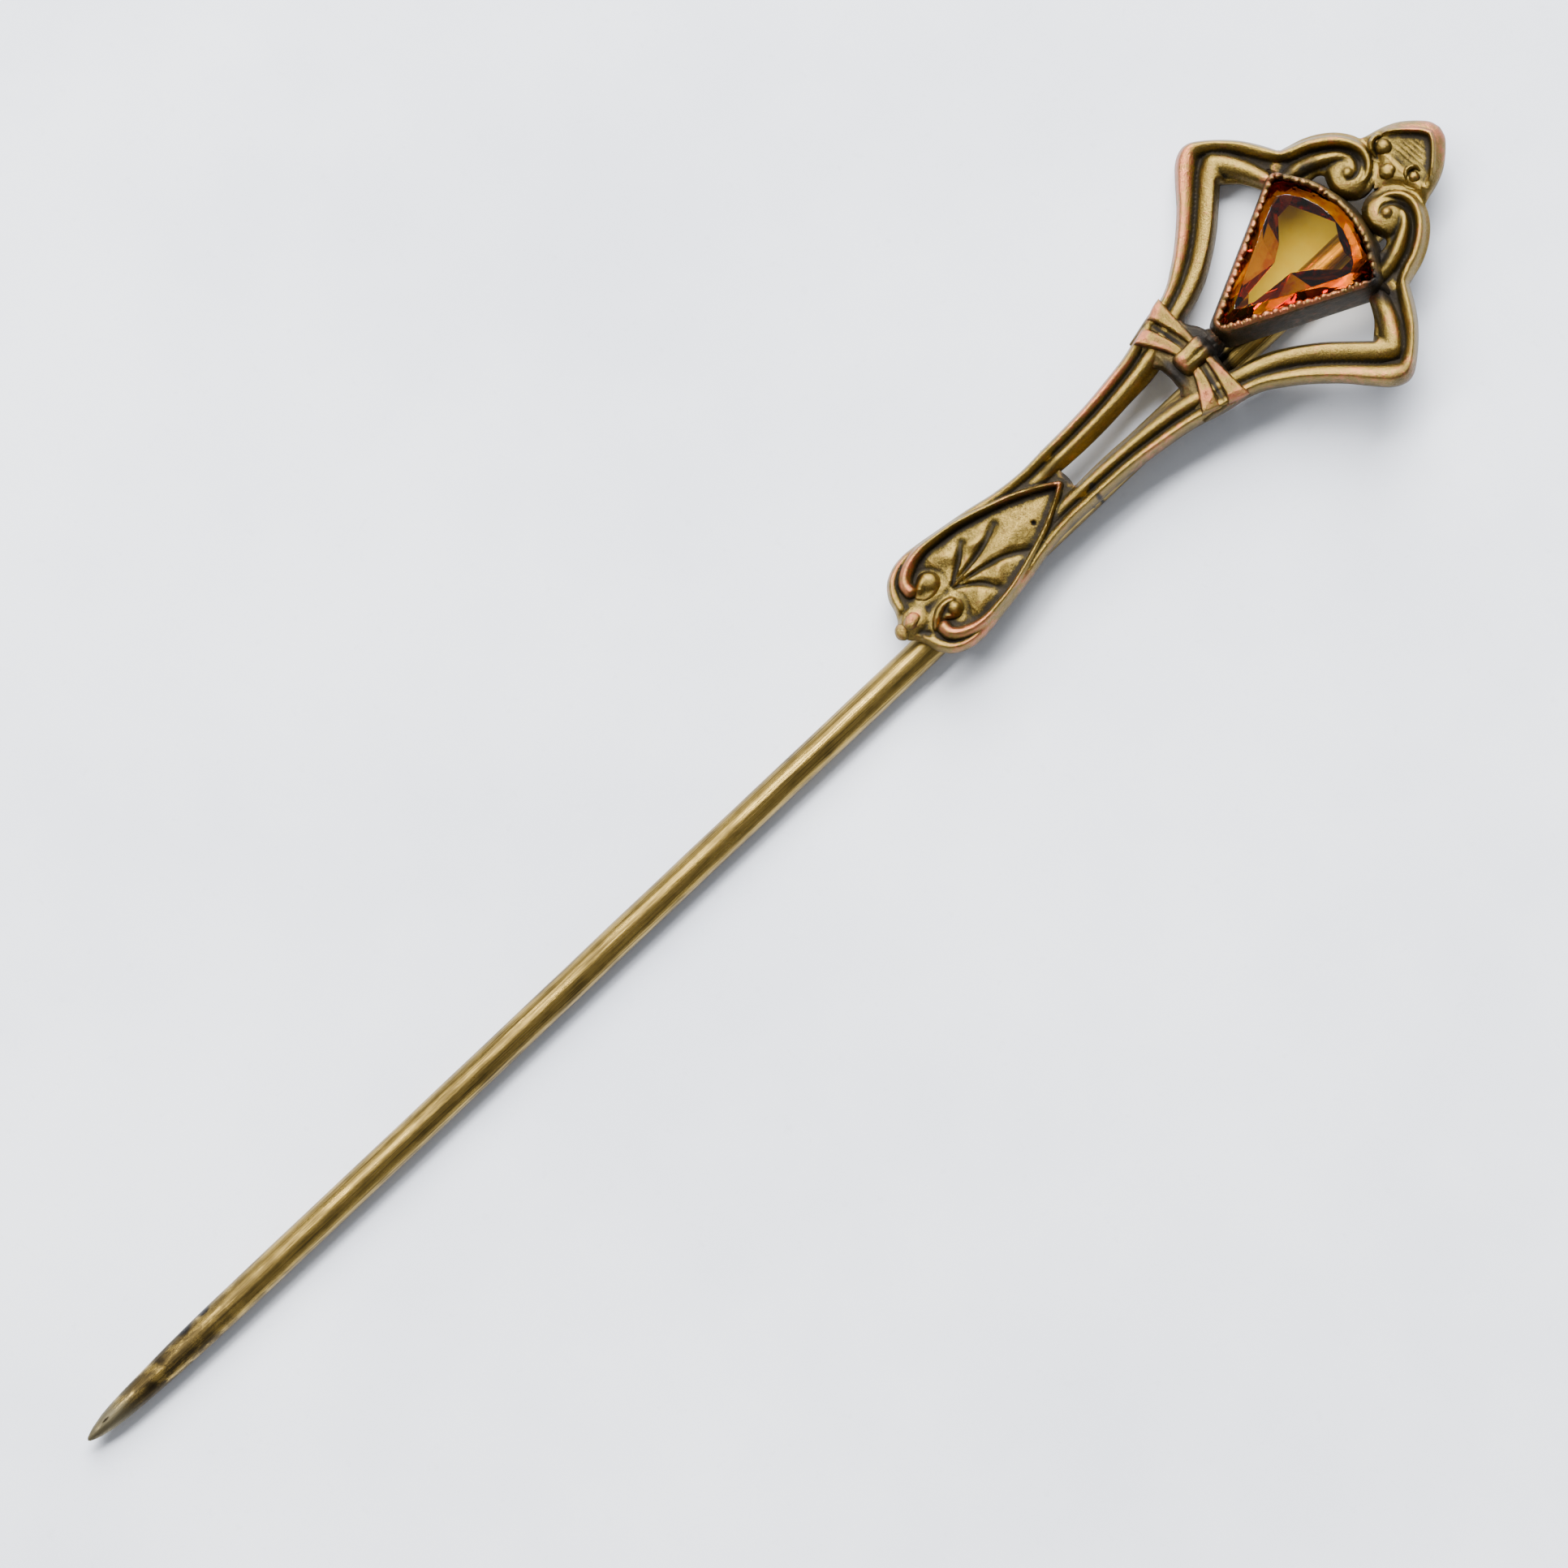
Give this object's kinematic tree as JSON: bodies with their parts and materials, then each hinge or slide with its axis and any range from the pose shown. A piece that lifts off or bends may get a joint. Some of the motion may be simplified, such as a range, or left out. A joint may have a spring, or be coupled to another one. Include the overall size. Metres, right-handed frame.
{
  "type": "hat pin",
  "caption": "Art Nouveau stick pin: a long pointed wire stem carrying an openwork head with curved shoulders, a bow, a leaf drop and a kite-shaped amber stone.",
  "frame": {"origin": "middle of the part's length on the head's mid-plane, at the height of the stem's underside (the table it lies on)", "axes": "+Y along the stem from the point towards the crest; +Z out of the head's front, away from the stem; +X to the right seen from the front"},
  "size_m": [0.0106, 0.0602, 0.0029],
  "materials": {
    "stem_brass": "drawn wire, worn, brown tarnish near the point",
    "gilt_brass": "worn gilding over brass, olive and brown patina in the hollows",
    "rose_brass": "gilding worn through to rose-coloured metal on the high parts",
    "dark_brass": "dark oxidised walls",
    "copper_rim": "milgrained, rose-coloured, dark in the notches",
    "solder": "dark rough solder",
    "amber_glass": "polished facets"
  },
  "bodies": {
    "root": {"stem": "stem_brass", "rail_left": "gilt_brass", "rail_right": "gilt_brass", "scroll_left": "gilt_brass", "scroll_right": "gilt_brass", "crest_plate": "gilt_brass", "crest_curl_left": "gilt_brass", "crest_curl_right": "gilt_brass", "crest_bead": "gilt_brass", "bow_plate": "dark_brass", "bow_loop_left": "rose_brass", "bow_loop_right": "rose_brass", "bow_tail_left": "rose_brass", "bow_tail_right": "rose_brass", "bow_knot": "gilt_brass", "leaf_plaque": "gilt_brass", "leaf_scroll_left": "gilt_brass", "leaf_scroll_right": "gilt_brass", "leaf_bead": "rose_brass", "tail_bead": "rose_brass", "bezel_wall": "dark_brass", "bezel_rim": "copper_rim", "bezel_seat": "dark_brass", "stone": "amber_glass", "bezel_foot": "solder", "bezel_solder_left": "solder", "bezel_solder_right": "solder", "stem_solder_top": "solder", "stem_solder_leaf": "solder"}
  },
  "joints": []
}
